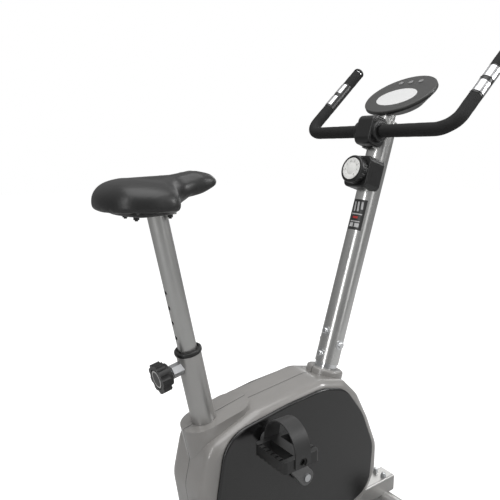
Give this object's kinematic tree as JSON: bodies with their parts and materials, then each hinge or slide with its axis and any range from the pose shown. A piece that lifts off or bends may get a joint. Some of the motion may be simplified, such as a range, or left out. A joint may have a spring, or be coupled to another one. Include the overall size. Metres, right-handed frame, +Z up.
{
  "type": "exercise bike",
  "caption": "Upright magnetic exercise bike with an adjustable saddle, a leaning front post with handlebar, tension dial and oval computer, and a closed drive housing on two stabilizers.",
  "frame": {"origin": "on the floor under the middle of the bike's overall length and width", "axes": "+X the way the rider faces, +Y to the rider's left, +Z up"},
  "size_m": [0.879, 0.472, 1.2255],
  "materials": {
    "frame_paint": "silver-grey satin powder coat",
    "post_paint": "bright silver gloss paint",
    "chrome": "bright plated",
    "steel": "machined and zinc plated",
    "cast": "painted cast iron",
    "black_plastic": "moulded with a fine grain",
    "gloss_black": "moulded, semi-gloss",
    "housing_grey": "warm grey moulded",
    "console_grey": "dark grey moulded",
    "dial_white": "white printed",
    "window": "clear glossy",
    "foam": "closed-cell foam",
    "rubber": "black rubber",
    "vinyl": "smooth black vinyl",
    "wheel_plastic": "moulded nylon",
    "button_grey": "moulded"
  },
  "bodies": {
    "frame": {"bar_bracket": "post_paint", "bar_clamp": "post_paint", "bottom_bracket": "frame_paint", "brake_hanger": "frame_paint", "clamp_cover_left": "black_plastic", "clamp_cover_right": "black_plastic", "console_back": "black_plastic", "console_bezel": "console_grey", "console_bracket": "black_plastic", "console_window": "window", "crank_bearings": "steel", "drive_belt": "rubber", "flywheel_axle": "steel", "flywheel_fork": "frame_paint", "front_end_caps": "black_plastic", "front_post": "post_paint", "front_stabilizer": "frame_paint", "housing_left": "housing_grey", "housing_right": "housing_grey", "keel_beam": "frame_paint", "neck_stub": "post_paint", "plunger_boss": "chrome", "post_fasteners": "chrome", "rear_end_caps": "black_plastic", "rear_stabilizer": "frame_paint", "seat_bush": "black_plastic", "seat_tube": "frame_paint", "side_covers": "gloss_black", "stabilizer_fasteners": "steel", "tension_box_front": "black_plastic", "tension_box_rear": "black_plastic", "tension_cable": "rubber", "wheel_axles": "steel"},
    "seat": {"seat_post": "frame_paint", "saddle_base": "black_plastic", "saddle_cushion": "vinyl", "saddle_fasteners": "steel"},
    "plunger": {"plunger_pin": "steel"},
    "pin_knob": {"seat_knob": "black_plastic"},
    "dial": {"tension_knob": "dial_white"},
    "brake": {"magnet_bracket": "steel"},
    "crank": {"crank_axle": "steel", "crank_arms": "steel", "drive_pulley": "black_plastic"},
    "left_pedal": {"pedal_left": "black_plastic", "strap_left": "rubber"},
    "right_pedal": {"pedal_right": "black_plastic", "strap_right": "rubber"},
    "rotor": {"flywheel": "cast"},
    "handles": {"handlebar": "steel", "grip_left": "foam", "grip_right": "foam", "pulse_carriers": "black_plastic", "pulse_plates": "chrome", "bar_end_caps": "rubber"},
    "left_wheel": {"wheel_left": "wheel_plastic"},
    "right_wheel": {"wheel_right": "wheel_plastic"},
    "key_left": {"button_left": "button_grey"},
    "key_middle": {"button_middle": "button_grey"},
    "key_right": {"button_right": "button_grey"}
  },
  "joints": [
    {"name": "seat_height", "type": "slide", "parent": "frame", "child": "seat", "axis": [-0.2079, 0, 0.9781], "range_m": [-0.16, 0.032]},
    {"name": "pin_pull", "type": "slide", "parent": "frame", "child": "plunger", "axis": [-0.9781, 0, -0.2079], "range_m": [0, 0.012], "stiffness_N_per_m": 1200, "springref_m": -0.006},
    {"name": "pin_knob_turn", "type": "hinge", "parent": "plunger", "child": "pin_knob", "pos_m": [-0.2587, 0, 0.58], "axis": [-0.9781, 0, -0.2079], "range_deg": [-180, 180]},
    {"name": "tension_turn", "type": "hinge", "parent": "frame", "child": "dial", "pos_m": [0.2539, 0, 0.93441], "axis": [-0.9553, 0, 0.2957], "range_deg": [-280, 0]},
    {"name": "brake_swing", "type": "hinge", "parent": "frame", "child": "brake", "pos_m": [0.10911, 0, 0.29883], "axis": [0, 1, 0], "range_deg": [0, 1.2]},
    {"name": "crank_spin", "type": "hinge", "parent": "frame", "child": "crank", "pos_m": [-0.0278, 0, 0.29], "axis": [0, 1, 0], "continuous": true},
    {"name": "flywheel_spin", "type": "hinge", "parent": "frame", "child": "rotor", "pos_m": [0.1482, 0, 0.215], "axis": [0, 1, 0], "continuous": true},
    {"name": "left_pedal_spin", "type": "hinge", "parent": "crank", "child": "left_pedal", "pos_m": [0.07826, 0, 0.1636], "axis": [0, 1, 0], "continuous": true},
    {"name": "right_pedal_spin", "type": "hinge", "parent": "crank", "child": "right_pedal", "pos_m": [-0.13386, 0, 0.4164], "axis": [0, 1, 0], "continuous": true},
    {"name": "handlebar_tilt", "type": "hinge", "parent": "frame", "child": "handles", "pos_m": [0.24191, 0, 1.0428], "axis": [0, 1, 0], "range_deg": [-15, 15]},
    {"name": "left_wheel_spin", "type": "hinge", "parent": "frame", "child": "left_wheel", "pos_m": [0.3913, 0, 0.03], "axis": [0, 1, 0], "continuous": true},
    {"name": "right_wheel_spin", "type": "hinge", "parent": "frame", "child": "right_wheel", "pos_m": [0.3913, 0, 0.03], "axis": [0, 1, 0], "continuous": true},
    {"name": "key_left_press", "type": "slide", "parent": "frame", "child": "key_left", "axis": [0.5736, 0, -0.8192], "range_m": [0, 0.001], "stiffness_N_per_m": 600, "springref_m": -0.0004},
    {"name": "key_middle_press", "type": "slide", "parent": "frame", "child": "key_middle", "axis": [0.5736, 0, -0.8192], "range_m": [0, 0.001], "stiffness_N_per_m": 600, "springref_m": -0.0004},
    {"name": "key_right_press", "type": "slide", "parent": "frame", "child": "key_right", "axis": [0.5736, 0, -0.8192], "range_m": [0, 0.001], "stiffness_N_per_m": 600, "springref_m": -0.0004}
  ],
  "couplings": [
    {"joint": "flywheel_spin", "follows": "crank_spin", "ratio": 6.5625},
    {"joint": "brake_swing", "follows": "tension_turn", "ratio": -0.004286}
  ]
}
